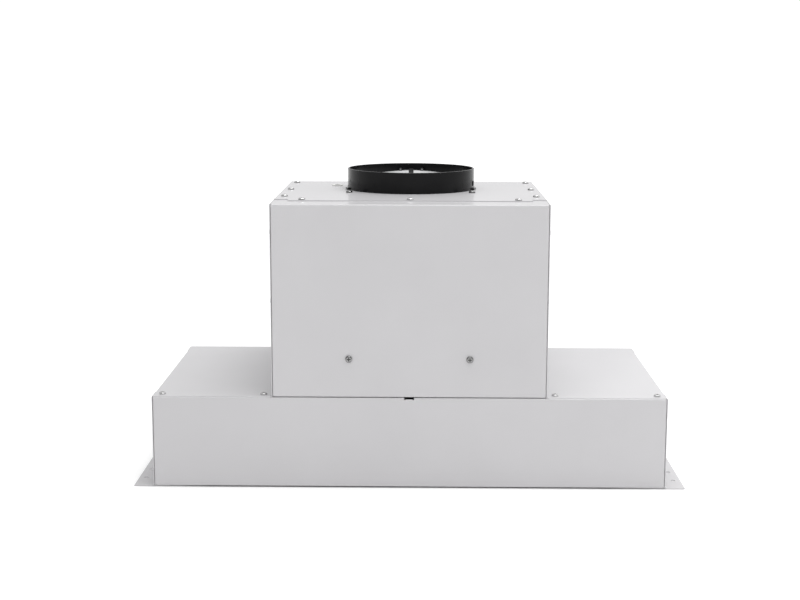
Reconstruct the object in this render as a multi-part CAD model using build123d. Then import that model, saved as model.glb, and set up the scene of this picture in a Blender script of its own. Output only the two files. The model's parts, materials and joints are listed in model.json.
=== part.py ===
from build123d import *
import os
from math import acos, cos, degrees, radians, sin, sqrt, tan

# Cabinet insert range hood, in millimetres: a wide canopy box stands on its two side feet, a blower housing
# sits on it a sheet behind its front, and a round duct collar with two damper flaps rises from the top plate.
# Origin: middle of the base. +Z up, the front faces -Y, left and right are as seen from the front.

# ---- sheet metal ----
sheet = 0.8                  # thickness of every steel panel
bend_radius = 1.6            # outside radius of a fold
relief = 0.6                 # slit between two folds that meet at a corner
edge_setback = 0.4           # side sheets stop this far behind the front and back faces
panel_gap = 0.3              # room between a panel's side folds and the side sheets

# ---- canopy box ----
canopy_width = 557.0
canopy_depth = 270.0
canopy_height = 100.0
canopy_lift = 1.0            # front and back panels end this far above the feet's undersides
flange_width = 21.5          # outward foot on the left and the right
flange_hole_radius = 2.5
flange_hole_inset = 8.0      # hole centre from the flange's outer edge
flange_hole_ends = (30.0, 62.0)  # hole centres from the flange's front and back ends
side_return = 14.0           # depth of the folds along upright edges
canopy_top_return = 24.0     # depth of the canopy's folds under the wings and the housing
wing_flange = 12.0           # fold down of a wing along the housing
wing_back_flange = 15.0      # fold down of a wing behind the back panel
wing_edge_gap = 1.5          # wing's outer edge from the side sheet's outer face
wing_edge_round = 0.7        # rolled front edge of a wing
wing_slot_gap = 1.8          # canopy's top folds end this far outside the housing

# ---- blower housing ----
housing_width = 297.0
housing_height = 209.0
housing_foot = 12.0          # how far the housing's sides reach down into the canopy
foot_gap = 0.2               # foot's ends from the canopy's front and back sheets
housing_setback = 0.8        # housing's front and back faces behind the canopy's
housing_seam = 0.6           # front and back panels end this far above the canopy
housing_front_return = 53.0  # top fold of the front panel
tab_width = 7.8              # tab that stands in the lever slot, in the middle of the canopy's front edge
tab_height = 0.8             # above the slot's bottom
tab_gap = 1.4                # beside the tab, to the slot's end
slot_depth = 2.3             # below the canopy's top

# ---- top plate ----
plate_front = 35.0           # plate's front edge behind the front face
plate_corner_width = 15.6    # cut in the plate's two front corners
plate_corner_depth = 14.0
plate_edge_gap = 0.4         # plate's other edges from the outer faces
plate_side_screw_inset = 8.9
plate_side_screw_front = 81.0   # first side screw, behind the front face
plate_side_screw_back = 20.0    # last side screw, before the back face
plate_side_screw_middle = 28.0  # middle side screw, behind the body's middle
plate_front_screw_inset = 9.0
plate_front_screw_side = 31.0   # outer front screws, from the housing's sides

# ---- duct collar ----
collar_radius = 74.0         # takes a 150 mm duct
collar_wall = 2.0
collar_back = 90.0           # collar's axis before the back face
collar_height = 24.0         # above the top plate
collar_lead_in = 0.5         # rim's outer bevel
collar_base_side = 6.0       # base under the plate, beyond the collar on the left and right
collar_base_end = 1.0        # and before and behind it
collar_base_thickness = 2.0
collar_base_corner = 12.0
collar_clearance = 0.3       # radial room in the plate's hole
snap_bead = 0.6              # bead that snaps over the plate, beyond the collar's outside
ear_reach = 3.0
ear_width = 10.0
ear_angle = 14.0             # degrees from the collar's left and right towards the front
ear_thickness = 2.4          # of the ears and the bead
window_width = 10.0          # window in the collar's wall, right of the front
window_height = 5.5
window_bottom = 4.7          # above the top plate
window_angle = -12.0         # degrees from +X
spine_width = 4.4
spine_height = 11.0
spine_drop = 6.0             # spine's top below the rim
spine_boss_width = 10.0
spine_boss_depth = 5.0
spine_boss_height = 1.7

# ---- damper flaps ----
flap_thickness = 0.8
flap_drop = 8.7              # flap's top face below the rim, on its pivot line
flap_droop = 4.0             # degrees that a closed flap falls away from the spine
flap_edge_gap = 0.8          # room to the collar's bore and to the spine
flap_pivot_x = 13.0
flap_swing_out = 3.0         # an open flap's plate passes this far outside its pivot
flap_pin_radius = 1.0
flap_pin_length = 8.5
flap_pin_seat = 1.2          # depth of the pin's blind hole in the collar's wall
flap_pin_play = 0.2          # pin's end to the hole's bottom
lug_wall = 0.7               # hinge lug around its pin
lug_length = 5.0
lug_end_gap = 1.2            # lug's end to the collar's bore
stop_reach = 3.0             # stop under a flap's outer edge, from the bore
stop_width = 12.0
stop_height = 4.0
stop_gap = 0.2               # closed flap above its stop
running_clearance = 0.05     # radial room of a pin or shaft in its bearing

# ---- blower ----
outlet_offset = 45.0         # collar's axis behind the wheel's axis
axis_height = 110.0          # wheel's axis above the canopy
impeller_radius = 75.0
impeller_half_width = 56.0
impeller_disc = 2.0
blade_count = 40
blade_thickness = 1.2
blade_inner_radius = 61.0
blade_bulge = 2.6            # how far a blade bows from its chord
blade_lean = 22.0            # degrees between a blade's chord and the radius
end_ring_width = 2.5
end_ring_depth = 6.0
blade_tip_inset = 0.5        # blades end this far inside the wheel's outside
scroll_half_width = 66.0     # outer faces of the side plates
scroll_step = 12.0           # growth of the scroll in each quarter turn
tongue_radius = 10.0
inlet_radius = 58.0
inlet_hole_radius = 64.0
inlet_flange_radius = 76.0
inlet_wall = 1.2
inlet_depth = 7.0
shaft_radius = 4.0
shaft_reach = 20.0           # shaft beyond the impeller's disc
hub_radius = 11.0
hub_flange_radius = 20.0
hub_flange_thickness = 2.0
hub_length = 15.0
motor_radius = 44.0
motor_gap = 10.0             # motor's nose from the impeller's disc
motor_bevel = 6.0
motor_shaft_bore = 46.0      # depth of the shaft's bore in the motor
shaft_end_play = 1.0         # shaft's end to the bore's bottom
mount_radius = 82.0          # circle of the motor's rubber mounts
mount_arm_width = 14.0
mount_plate = 1.2
mount_disc_radius = 33.0
mount_rubber = 4.8
mount_rubber_radius = 6.0
bracket_sheet = 1.2
bracket_margin = 10.0        # bracket's ends beyond its screws
bracket_foot = 25.0
bracket_clearance = 0.3      # bracket's edge to the scroll
capacitor_radius = 18.0
capacitor_length = 58.0
capacitor_edge = 2.5
capacitor_front = 47.0       # capacitor's axis behind the front face
capacitor_drop = 47.0        # and below the housing's top

# ---- cable grommet ----
grommet_side_gap = 1.5       # from the side of the collar's base
grommet_back = 31.0          # behind the collar's axis
grommet_bore = 3.6
grommet_outer = 6.5
grommet_neck = 5.4
grommet_above = 1.2
grommet_below = 2.6

# ---- electronics ----
box_inner_gap = 12.5         # from the housing's side
box_outer_gap = 17.5         # from the canopy's side
box_front = 35.0             # from the front face
box_depth = 60.0
box_height = 36.0
box_wall = 2.0
board_gap = 6.0              # board's edges inside the box's outer faces
board_thickness = 1.6
board_stand = 5.0            # board above the lid
board_post_radius = 2.5
board_post_inset = 5.5       # post's centre from the board's edges
terminal_size = (34.0, 12.0, 14.0)
terminal_count = 4
terminal_hole_radius = 2.4
terminal_hole_depth = 4.0

# ---- underside ----
fascia_level = 8.0           # underside of the fascia above the feet's undersides
fascia_flange = 12.0
fascia_strip = 60.0          # strip with lamps and buttons, from the front panel's inside
fascia_rear_strip = 16.2
fascia_side_strip = 15.7
fascia_middle_bar = 16.0
fascia_corner = 2.4          # notch between the upturned edges

filter_thickness = 9.0
filter_side_gap = 2.0
filter_front_gap = 1.0
filter_rear_gap = 2.0
filter_rail = 12.0
filter_front_rail = 26.0
filter_groove = 4.0
filter_groove_height = 5.4
filter_corner = 2.0
screen_edge_gap = 0.2        # screen's edge to the groove's bottom
screen_thickness = 1.2
screen_columns = 18
screen_rows = 12
screen_hole_width = 9.5
screen_hole_depth = 8.5
tab_spacing = 180.0
rear_tab_width = 20.0
rear_tab_thickness = 1.5
rear_tab_reach = 6.0
rear_tab_lift = 0.3          # tab above the fascia

latch_width = 30.0
latch_length = 14.0
latch_height = 6.0
latch_travel = 4.0
latch_gap = 0.2              # sliding room around the latch
latch_wall = 3.0             # front rail's wall that the nose passes
latch_nose_width = 12.0
latch_nose_height = 3.2
latch_nose_gap = 0.3         # nose to the edge of the fascia's opening
latch_ledge = 2.0
latch_grip_width = 22.0
latch_grip_thickness = 2.4
latch_grip_drop = 5.5
latch_grip_place = 5.6       # grip's front behind the latch's front
latch_grip_edge = 0.9
latch_lift = 1.0             # latch above the frame's underside
latch_end_room = 1.0         # beyond the latch's travel
spring_wire = 0.5
spring_radius = 1.9
spring_turns = 4
spring_free = 0.3            # spring's ends from what they press on

lamp_inset = 78.5            # lamp's middle from the canopy's side
lamp_hole_radius = 25.2
lamp_can_radius = 25.0
lamp_can_height = 18.0
lamp_can_wall = 1.5
lamp_can_seat = 4.0          # ring inside the can that the lens rests on
lamp_lens_radius = 21.5
lamp_lens_thickness = 2.5
lamp_bezel_radius = 28.0
lamp_bezel_thickness = 1.7
lamp_bezel_edge = 0.8
lamp_bezel_lap = 1.5         # bezel over the lens

button_names = ("button_off", "button_low", "button_medium", "button_high", "button_light")
button_pitch = 19.0
button_width = 14.4
button_depth = 10.4
button_corner = 1.5
button_gap = 0.3
button_stand = 2.3           # button below its bezel
button_sink = 5.0            # button inside its pocket
button_travel = 2.0
button_end_room = 0.5        # beyond the button's travel
button_edge = 0.8
bezel_margin = 6.0
bezel_thickness = 1.5
bezel_corner = 4.0
bezel_edge = 0.6
switch_margin = 2.0
switch_height = 22.0
switch_gap = 0.3             # room in the fascia around the switch

# ---- fasteners ----
screw_head_radius = 3.8
screw_head_height = 2.0
screw_head_round = 1.4
screw_shank_radius = 1.95
screw_length = 8.0
screw_clearance = 0.15
cross_length = 4.4
cross_width = 0.9
cross_depth = 1.2
rivet_head_radius = 3.0
rivet_head_height = 0.9
rivet_head_round = 0.63
rivet_shank_radius = 1.6
front_screw_side = 83.5      # front screws from the housing's sides
front_screw_rise = 42.5      # front screws above the canopy
wing_screw_inset = 11.0      # behind the front face
wing_screw_inner = 9.5       # from the housing's side
wing_screw_outer = 10.1      # from the canopy's side
back_screw_inner = 23.5      # from the housing's side
back_screw_outer = 22.5      # from the canopy's side
back_screw_drop = 8.0        # below the canopy's top
blower_screw_side = 10.0     # from the side of the collar's base
blower_screw_end = 21.0      # from the base's front and back
upright_rivet_inset = 9.0    # from the front and back faces
canopy_rivet_inset = 15.0    # from the canopy's bottom and top
housing_rivet_inset = 30.0   # from the housing's bottom and top
wing_rivet_drop = 6.0        # below the canopy's top
wing_rivet_end = 45.0        # from the front and back faces

# ---- places that follow from the sizes ----
front = -canopy_depth / 2
back = -front
inner_front = front + sheet
inner_back = -inner_front
housing_front = front + housing_setback
housing_back = -housing_front
canopy_half = canopy_width / 2
canopy_inside = canopy_half - sheet
housing_half = housing_width / 2
housing_inside = housing_half - sheet
housing_top = canopy_height + housing_height
plate_top = housing_top + sheet
wing_start = housing_half + wing_slot_gap
rim_z = plate_top + collar_height
bore_radius = collar_radius - collar_wall
collar_y = back - collar_back
collar_bottom = housing_top - collar_base_thickness
collar_base_half_x = collar_radius + collar_base_side
collar_base_half_y = collar_radius + collar_base_end
lug_radius = flap_pin_radius + lug_wall
flap_top = rim_z - flap_drop
flap_bottom = flap_top - flap_thickness
flap_radius = bore_radius - flap_edge_gap
pin_z = flap_top + lug_radius
axis_y = collar_y - outlet_offset
axis_z = canopy_height + axis_height
grommet_x = -(collar_base_half_x + grommet_side_gap + grommet_outer)
grommet_y = collar_y + grommet_back
screw_hole_radius = screw_shank_radius + screw_clearance

os.makedirs("parts", exist_ok=True)


def save(name, *shapes):
    """Write the solids of one node."""
    solids = [solid for shape in shapes for solid in shape.solids()]
    export_step(solids[0] if len(solids) == 1 else Compound(solids), f"parts/{name}.step")


def both_sides(name, part):
    """Write a left piece and its mirror image on the right."""
    save(f"{name}_left", part)
    save(f"{name}_right", mirror(part, Plane.YZ))


def block(x0, x1, y0, y1, z0, z1):
    """Box between two corners."""
    middle = ((x0 + x1) / 2, (y0 + y1) / 2, (z0 + z1) / 2)
    return Pos(*middle) * Box(abs(x1 - x0), abs(y1 - y0), abs(z1 - z0))


def rod(radius, start, axis, length):
    """Cylinder from a start point along an axis, which is X, Y or Z."""
    turn = {"X": Rot(0, 90, 0), "Y": Rot(-90, 0, 0), "Z": Rot(0, 0, 0)}[axis]
    base = (Align.CENTER, Align.CENTER, Align.MIN)
    return Pos(*start) * turn * Cylinder(radius, length, align=base)


def folded(plane, points, start, end, inside):
    """Sheet strip whose outer face follows the points, from start to end along the plane's normal."""
    line = FilletPolyline(*points, radius=bend_radius)
    section = make_face(offset(line, amount=sheet, side=inside))
    return extrude(plane.offset(start) * section, amount=end - start)


def rounded_block(half_width, y0, y1, z0, z1, radius):
    """Box with a rounded front face and rounded edges running back from its corners."""
    part = block(-half_width, half_width, y0, y1, z0, z1)
    edges = part.edges()
    return fillet(edges.filter_by(Axis.Y) + edges.group_by(Axis.Y)[0], radius)


def pressed_panel(half_width, face, bottom, top, top_return):
    """Front panel pressed like a tray, its folds parted by slits behind the closed corners."""
    deep = face + side_return
    end = face + top_return
    part = rounded_block(half_width, face, end, bottom, top, bend_radius)
    part -= rounded_block(half_width - sheet, face + sheet, end + 1, bottom + sheet, top - sheet,
                          bend_radius - sheet)
    if end > deep:
        part -= block(-half_width - 1, half_width + 1, deep, end + 1, bottom - 1, top - sheet)
    seam = face + bend_radius + relief
    for z in (bottom + sheet, top - sheet - relief):
        part -= block(-half_width - 1, half_width + 1, seam, deep + 1, z, z + relief)
    part += block(-half_width, half_width, seam, deep, bottom, bottom + sheet)
    return part + block(-half_width, half_width, seam, end, top - sheet, top)


def pan_screw(length=screw_length):
    """Cross-recessed pan-head screw, head up, seat at the origin."""
    dome = rod(screw_head_radius, (0, 0, 0), "Z", screw_head_height)
    dome = fillet(dome.edges().group_by(Axis.Z)[-1], screw_head_round)
    shank = rod(screw_shank_radius, (0, 0, -length), "Z", length)
    top = screw_head_height
    slot = Pos(0, 0, top - cross_depth / 2) * Box(cross_length, cross_width, cross_depth)
    return dome + shank - slot - Rot(0, 0, 90) * slot


def rivet(length):
    """Domed blind rivet, head up, seat at the origin."""
    head = rod(rivet_head_radius, (0, 0, 0), "Z", rivet_head_height)
    head = fillet(head.edges().group_by(Axis.Z)[-1], rivet_head_round)
    return head + rod(rivet_shank_radius, (0, 0, -length), "Z", length)


# Turns for a fastener whose head points up: which way its head then points.
head_to_front = Rot(90, 0, 0)
head_to_back = Rot(-90, 0, 0)
head_to_left = Rot(0, -90, 0)
head_to_right = Rot(0, 90, 0)

plate_front_screw_x = housing_half - plate_front_screw_side
plate_front_screw_y = front + plate_front + plate_front_screw_inset
plate_side_screw_x = housing_half - plate_side_screw_inset
plate_side_screw_y = (front + plate_side_screw_front, plate_side_screw_middle, back - plate_side_screw_back)
plate_screws = [(x, plate_front_screw_y) for x in (-plate_front_screw_x, 0, plate_front_screw_x)]
plate_screws += [(side * plate_side_screw_x, y) for side in (-1, 1) for y in plate_side_screw_y]
blower_screw_x = collar_base_half_x - blower_screw_side
blower_screw_y = collar_base_half_y - blower_screw_end
blower_screws = [(sx * blower_screw_x, collar_y + sy * blower_screw_y) for sx in (-1, 1) for sy in (-1, 1)]
wing_screw_x = (housing_half + wing_screw_inner, canopy_half - wing_screw_outer)
wing_screw_y = front + wing_screw_inset
back_screw_x = (housing_half + back_screw_inner, canopy_half - back_screw_outer)
back_screw_z = canopy_height - back_screw_drop
front_screw_z = canopy_height + front_screw_rise
front_screws = [(side * (housing_half - front_screw_side), front_screw_z) for side in (-1, 1)]
upright_rivet_y = back - upright_rivet_inset
canopy_rivet_z = (canopy_rivet_inset, canopy_height / 2, canopy_height - canopy_rivet_inset)
housing_rivet_z = (canopy_height + housing_rivet_inset, (canopy_height + housing_top) / 2,
                   housing_top - housing_rivet_inset)
wing_rivet_y = (front + wing_rivet_end, 0, back - wing_rivet_end)
wing_rivet_z = canopy_height - wing_rivet_drop


def drilled(part, spots, z, radius=screw_hole_radius, reach=6.0):
    """Holes straight down through a part at the given spots."""
    for x, y in spots:
        part -= rod(radius, (x, y, z - reach), "Z", 2 * reach)
    return part


# ---- canopy ----
def canopy_panel():
    """Tray with room in its top fold for the housing's sides and the wings' inner folds."""
    part = pressed_panel(canopy_inside - panel_gap, front, canopy_lift, canopy_height, canopy_top_return)
    for side in (-1, 1):
        x0, x1 = sorted((side * (housing_inside - foot_gap), side * wing_start))
        part -= block(x0, x1, inner_front, front + canopy_top_return + 1, canopy_height - 2 * bend_radius,
                      canopy_height + 1)
    return part - canopy_rivet_holes()


def canopy_front_panel():
    """Canopy panel with a lever slot in its top edge and a low tab that stands in the slot."""
    part = canopy_panel()
    slot = tab_width / 2 + tab_gap
    slot_foot = canopy_height - slot_depth
    part -= block(-slot, slot, front - 1, front + canopy_top_return + 1, slot_foot, canopy_height + 1)
    part += block(-tab_width / 2, tab_width / 2, front, inner_front, slot_foot - 1, slot_foot + tab_height)
    return drilled(part, [(side * x, wing_screw_y) for side in (-1, 1) for x in wing_screw_x], canopy_height)


def canopy_back_panel():
    part = canopy_panel()
    for side in (-1, 1):
        x0, x1 = sorted((side * wing_start, side * canopy_half))
        part -= block(x0, x1, inner_front, front + canopy_top_return + 1, canopy_height - 2 * bend_radius,
                      canopy_height + 1)
    part = mirror(part, Plane.XZ)
    for x in back_screw_x:
        for side in (-1, 1):
            part -= rod(screw_hole_radius, (side * x, inner_back - 2, back_screw_z), "Y", 4)
    return part


def canopy_rivet_holes():
    holes = []
    for z in canopy_rivet_z:
        for y in (-upright_rivet_y, upright_rivet_y):
            holes.append(rod(rivet_shank_radius, (-canopy_half - 2, y, z), "X", canopy_width + 4))
    return Compound(holes)


def canopy_side_left():
    """Side sheet with its outward foot and the fold under the wing."""
    outer = -canopy_half
    y0 = front + edge_setback
    y1 = -y0
    tip = outer - flange_width
    foot_points = [(sheet, tip), (sheet, outer), (2 * bend_radius + sheet, outer)]
    part = folded(Plane.ZX, foot_points, y0, y1, Side.LEFT)
    part += block(outer, outer + sheet, y0, y1, sheet + bend_radius, canopy_height - bend_radius)
    for start, end in ((y0, front + canopy_top_return), (back - canopy_top_return, y1)):
        part += block(outer, outer + sheet, start, end, canopy_height - bend_radius, canopy_height)
    top_points = [(canopy_height - 2 * bend_radius, outer), (canopy_height, outer),
                  (canopy_height, outer + side_return)]
    part += folded(Plane.ZX, top_points, front + canopy_top_return + 1, back - canopy_top_return - 1,
                   Side.LEFT)
    spots = [(outer - flange_width + flange_hole_inset, sign * (back - end)) for sign in (-1, 1)
             for end in flange_hole_ends]
    part = drilled(part, spots, 0, flange_hole_radius)
    return part - canopy_rivet_holes()


def canopy_wing_left():
    """Top sheet beside the housing, folded down along the housing and behind."""
    x0 = -canopy_half + wing_edge_gap
    x1 = -housing_half
    y0 = front + bend_radius
    top = canopy_height + sheet
    part = block(x0, x1, y0, y0 + bend_radius, canopy_height, top)
    part = fillet(part.edges().group_by(Axis.Z)[-1].group_by(Axis.Y)[0], wing_edge_round)
    part += block(x0, x1 - bend_radius, y0 + bend_radius, inner_back - bend_radius, canopy_height, top)
    inner_points = [(canopy_height - wing_flange, x1), (top, x1), (top, x1 - 2 * bend_radius)]
    part += folded(Plane.ZX, inner_points, y0 + bend_radius, inner_back - 2 * bend_radius, Side.RIGHT)
    back_points = [(inner_back, canopy_height - wing_back_flange), (inner_back, top),
                   (inner_back - 2 * bend_radius, top)]
    part += folded(Plane.YZ, back_points, -canopy_inside + side_return + 1, -wing_start, Side.LEFT)
    part = drilled(part, [(-x, wing_screw_y) for x in wing_screw_x], canopy_height)
    for x in back_screw_x:
        part -= rod(screw_hole_radius, (-x, inner_back - 3, back_screw_z), "Y", 4)
    for y in wing_rivet_y:
        part -= rod(rivet_shank_radius, (x1 - 3, y, wing_rivet_z), "X", 6)
    return part


# ---- blower housing ----
def housing_rivet_holes():
    holes = []
    for z in housing_rivet_z:
        for y in (-upright_rivet_y, upright_rivet_y):
            holes.append(rod(rivet_shank_radius, (-housing_half - 2, y, z), "X", housing_width + 4))
    return Compound(holes)


def housing_front_panel():
    low = canopy_height + housing_seam
    part = pressed_panel(housing_inside - panel_gap, housing_front, low, housing_top, housing_front_return)
    for x, z in front_screws:
        part -= rod(screw_hole_radius, (x, housing_front - 2, z), "Y", 6)
    spots = [spot for spot in plate_screws if spot[1] < housing_front + housing_front_return]
    return drilled(part, spots, housing_top) - housing_rivet_holes()


def housing_back_panel():
    low = canopy_height + housing_seam
    part = pressed_panel(housing_inside - panel_gap, housing_front, low, housing_top, side_return)
    return mirror(part, Plane.XZ) - housing_rivet_holes()


def housing_side_left():
    outer = -housing_half
    y0 = housing_front + edge_setback
    bottom = canopy_height - housing_foot
    part = block(outer, outer + sheet, y0, -y0, canopy_height, housing_top - bend_radius)
    foot_y = inner_back - foot_gap
    part += block(outer, outer + sheet, -foot_y, foot_y, bottom, canopy_height)
    top_points = [(housing_top - 2 * bend_radius, outer), (housing_top, outer),
                  (housing_top, outer + side_return)]
    fold_front = housing_front + housing_front_return
    fold_back = housing_back - side_return
    part += folded(Plane.ZX, top_points, fold_front + 1, fold_back - 1, Side.LEFT)
    for start, end in ((y0, fold_front), (fold_back, -y0)):
        part += block(outer, outer + sheet, start, end, housing_top - 2 * bend_radius, housing_top)
    spots = [spot for spot in plate_screws if spot[0] < -plate_front_screw_x]
    part = drilled(part, spots, housing_top)
    for y in wing_rivet_y:
        part -= rod(rivet_shank_radius, (outer - 3, y, wing_rivet_z), "X", 6)
    return part - housing_rivet_holes()


def housing_top_plate():
    edge = housing_half - plate_edge_gap
    y0 = front + plate_front
    y1 = housing_back - plate_edge_gap
    part = block(-edge, edge, y0, y1, housing_top, plate_top)
    for side in (-1, 1):
        x0, x1 = sorted((side * (edge - plate_corner_width), side * (edge + 1)))
        part -= block(x0, x1, y0 - 1, y0 + plate_corner_depth, housing_top - 1, plate_top + 1)
    part = drilled(part, [(0, collar_y)], plate_top, collar_radius + collar_clearance)
    part = drilled(part, [(grommet_x, grommet_y)], plate_top, grommet_neck)
    return drilled(part, plate_screws + blower_screws, plate_top)


# ---- duct collar and damper ----
def wall_y(x):
    """Distance of the collar's bore from its axis plane at a sideways offset."""
    return sqrt(bore_radius ** 2 - x ** 2)


def flap_underside(x):
    """Depth of a closed flap's underside below its pin's axis, at a distance from the spine's middle."""
    droop = radians(flap_droop)
    return (lug_radius + flap_thickness) / cos(droop) + (x - flap_pivot_x) * tan(droop)


def duct_collar():
    """Collar with its base, ears, window, spine across the bore, pin seats and flap stops."""
    base = block(-collar_base_half_x, collar_base_half_x, collar_y - collar_base_half_y,
                 collar_y + collar_base_half_y, collar_bottom, housing_top)
    base = fillet(base.edges().filter_by(Axis.Z), collar_base_corner)
    tube = rod(collar_radius, (0, collar_y, collar_bottom), "Z", rim_z - collar_bottom)
    tube = chamfer(tube.edges().group_by(Axis.Z)[-1], collar_lead_in)
    part = base + tube
    part -= rod(bore_radius, (0, collar_y, collar_bottom - 1), "Z", rim_z - collar_bottom + 2)
    ear_outer = collar_radius + ear_reach
    foot = rod(collar_radius + snap_bead, (0, collar_y, plate_top), "Z", ear_thickness)
    ear = block(0, ear_outer, -ear_width / 2, ear_width / 2, plate_top, plate_top + ear_thickness)
    for turn in (-ear_angle, 180 + ear_angle):
        foot += Pos(0, collar_y, 0) * Rot(0, 0, turn) * ear
    part += foot - rod(bore_radius, (0, collar_y, plate_top - 1), "Z", ear_thickness + 2)
    window_z = plate_top + window_bottom
    window = block(bore_radius - 3, collar_radius + 3, -window_width / 2, window_width / 2,
                   window_z, window_z + window_height)
    part -= Pos(0, collar_y, 0) * Rot(0, 0, window_angle) * window
    spine_top = rim_z - spine_drop
    reach = bore_radius + collar_wall / 2
    spine = block(-spine_width / 2, spine_width / 2, -reach, reach, spine_top - spine_height, spine_top)
    part += Pos(0, collar_y, 0) * spine
    for side in (-1, 1):
        inner = side * (bore_radius - spine_boss_depth)
        boss = block(-spine_boss_width / 2, spine_boss_width / 2, *sorted((inner, side * reach)),
                     spine_top - spine_boss_height, spine_top)
        part += Pos(0, collar_y, 0) * boss
    bearing = flap_pin_radius + running_clearance
    seat = wall_y(flap_pivot_x) + flap_pin_seat
    stop_top = pin_z - flap_underside(flap_radius) - stop_gap
    for side in (-1, 1):
        part -= rod(bearing, (side * flap_pivot_x, collar_y - seat, pin_z), "Y", 2 * seat)
        x0, x1 = sorted((side * (bore_radius - stop_reach), side * reach))
        part += block(x0, x1, collar_y - stop_width / 2, collar_y + stop_width / 2,
                      stop_top - stop_height, stop_top)
    return drilled(part, blower_screws, housing_top)


def flap_right():
    """Half-moon flap that droops away from the spine."""
    inner = spine_width / 2 + flap_edge_gap
    end_y = wall_y(flap_pivot_x + flap_swing_out) - flap_edge_gap
    disc = rod(flap_radius, (0, collar_y, flap_bottom), "Z", flap_thickness)
    room = block(inner, flap_radius + 1, collar_y - end_y, collar_y + end_y, flap_bottom - 1, flap_top + 1)
    return drooping(disc & room)


def drooping(part):
    """Turn a piece of the right flap about its pins, from level to its closed place."""
    pivot = Pos(flap_pivot_x, collar_y, pin_z)
    return pivot * Rot(0, flap_droop, 0) * pivot.inverse() * part


def flap_hinge_right():
    """Two lugs on top of the flap, each with a stub pin that turns in a blind hole in the collar's wall."""
    pin_end = wall_y(flap_pivot_x) + flap_pin_seat - flap_pin_play
    lug_end = wall_y(flap_pivot_x + lug_radius) - lug_end_gap
    pin_starts = (collar_y - pin_end, collar_y + pin_end - flap_pin_length)
    lug_starts = (collar_y - lug_end, collar_y + lug_end - lug_length)
    hinges = []
    for pin_start, lug_start in zip(pin_starts, lug_starts):
        lug = rod(lug_radius, (flap_pivot_x, lug_start, pin_z), "Y", lug_length)
        lug += block(flap_pivot_x - lug_radius, flap_pivot_x + lug_radius,
                     lug_start, lug_start + lug_length, flap_top, pin_z)
        pin = rod(flap_pin_radius, (flap_pivot_x, pin_start, pin_z), "Y", flap_pin_length)
        hinges.append(drooping(lug + pin))
    return Compound(hinges)


# ---- blower ----
back_reach = collar_y + collar_radius - axis_y        # from the axis to the scroll's back wall
quarter_radii = [back_reach - scroll_step / 2 - step * scroll_step for step in range(3)]
outlet_front = collar_y - collar_radius - axis_y      # outlet's front wall, from the axis
scroll_top = collar_bottom - sheet


def scroll_line():
    """Scroll from the outlet's back wall down, around and up to the tongue and the outlet's front wall."""
    half = scroll_step / 2
    r0, r1, r2 = quarter_radii
    side_cos = (outlet_front + half - tongue_radius) / (r2 + tongue_radius)
    last_turn = 180 - degrees(acos(side_cos))
    tangent_height = axis_z + half
    wall = Line((axis_y + back_reach, scroll_top), (axis_y + back_reach, tangent_height))
    first = JernArc(wall @ 1, (0, -1), r0, -90)
    second = JernArc(first @ 1, first % 1, r1, -90)
    third = JernArc(second @ 1, second % 1, r2, -last_turn)
    tongue = JernArc(third @ 1, third % 1, tongue_radius, last_turn)
    rise = Line(tongue @ 1, ((tongue @ 1).X, scroll_top))
    return Wire([wall, first, second, third, tongue, rise])


def scroll_wrap():
    half = scroll_half_width - sheet
    section = make_face(offset(scroll_line(), amount=sheet, side=Side.LEFT))
    return extrude(Plane.YZ.offset(-half) * section, amount=2 * half)


def scroll_side_right():
    """Side plate with the inlet hole and the outlet's screw flange."""
    line = scroll_line()
    closing = Line(line @ 1, line @ 0)
    face = make_face(Wire([*line.edges(), closing]))
    inner = scroll_half_width - sheet
    part = extrude(Plane.YZ.offset(inner) * face, amount=sheet)
    part -= rod(inlet_hole_radius, (inner - 1, axis_y, axis_z), "X", sheet + 2)
    y0 = axis_y + outlet_front
    y1 = axis_y + back_reach
    part += block(inner, collar_base_half_x, y0, y1, scroll_top, collar_bottom)
    part = drilled(part, blower_screws, collar_bottom)
    for y, z in mount_spots():
        part -= rod(screw_hole_radius, (inner - 1, y, z), "X", sheet + 2)
    return part


def mount_spots():
    """Three places around the inlet for the motor's mounts."""
    angles = [radians(90 + 120 * index) for index in range(3)]
    return [(axis_y + mount_radius * cos(a), axis_z + mount_radius * sin(a)) for a in angles]


def inlet_ring_right():
    """Bell mouth: flat flange outside the side plate and a rounded throat into the wheel."""
    seat = scroll_half_width
    throat = inlet_depth + inlet_wall
    line = FilletPolyline((inlet_flange_radius, 0), (inlet_radius, 0), (inlet_radius, -throat), radius=5.0)
    section = make_face(offset(line, amount=inlet_wall, side=Side.LEFT))
    ring = revolve(Plane.XY * section, Axis.Y)
    return Pos(seat + inlet_wall, axis_y, axis_z) * Rot(0, 0, -90) * ring


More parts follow.
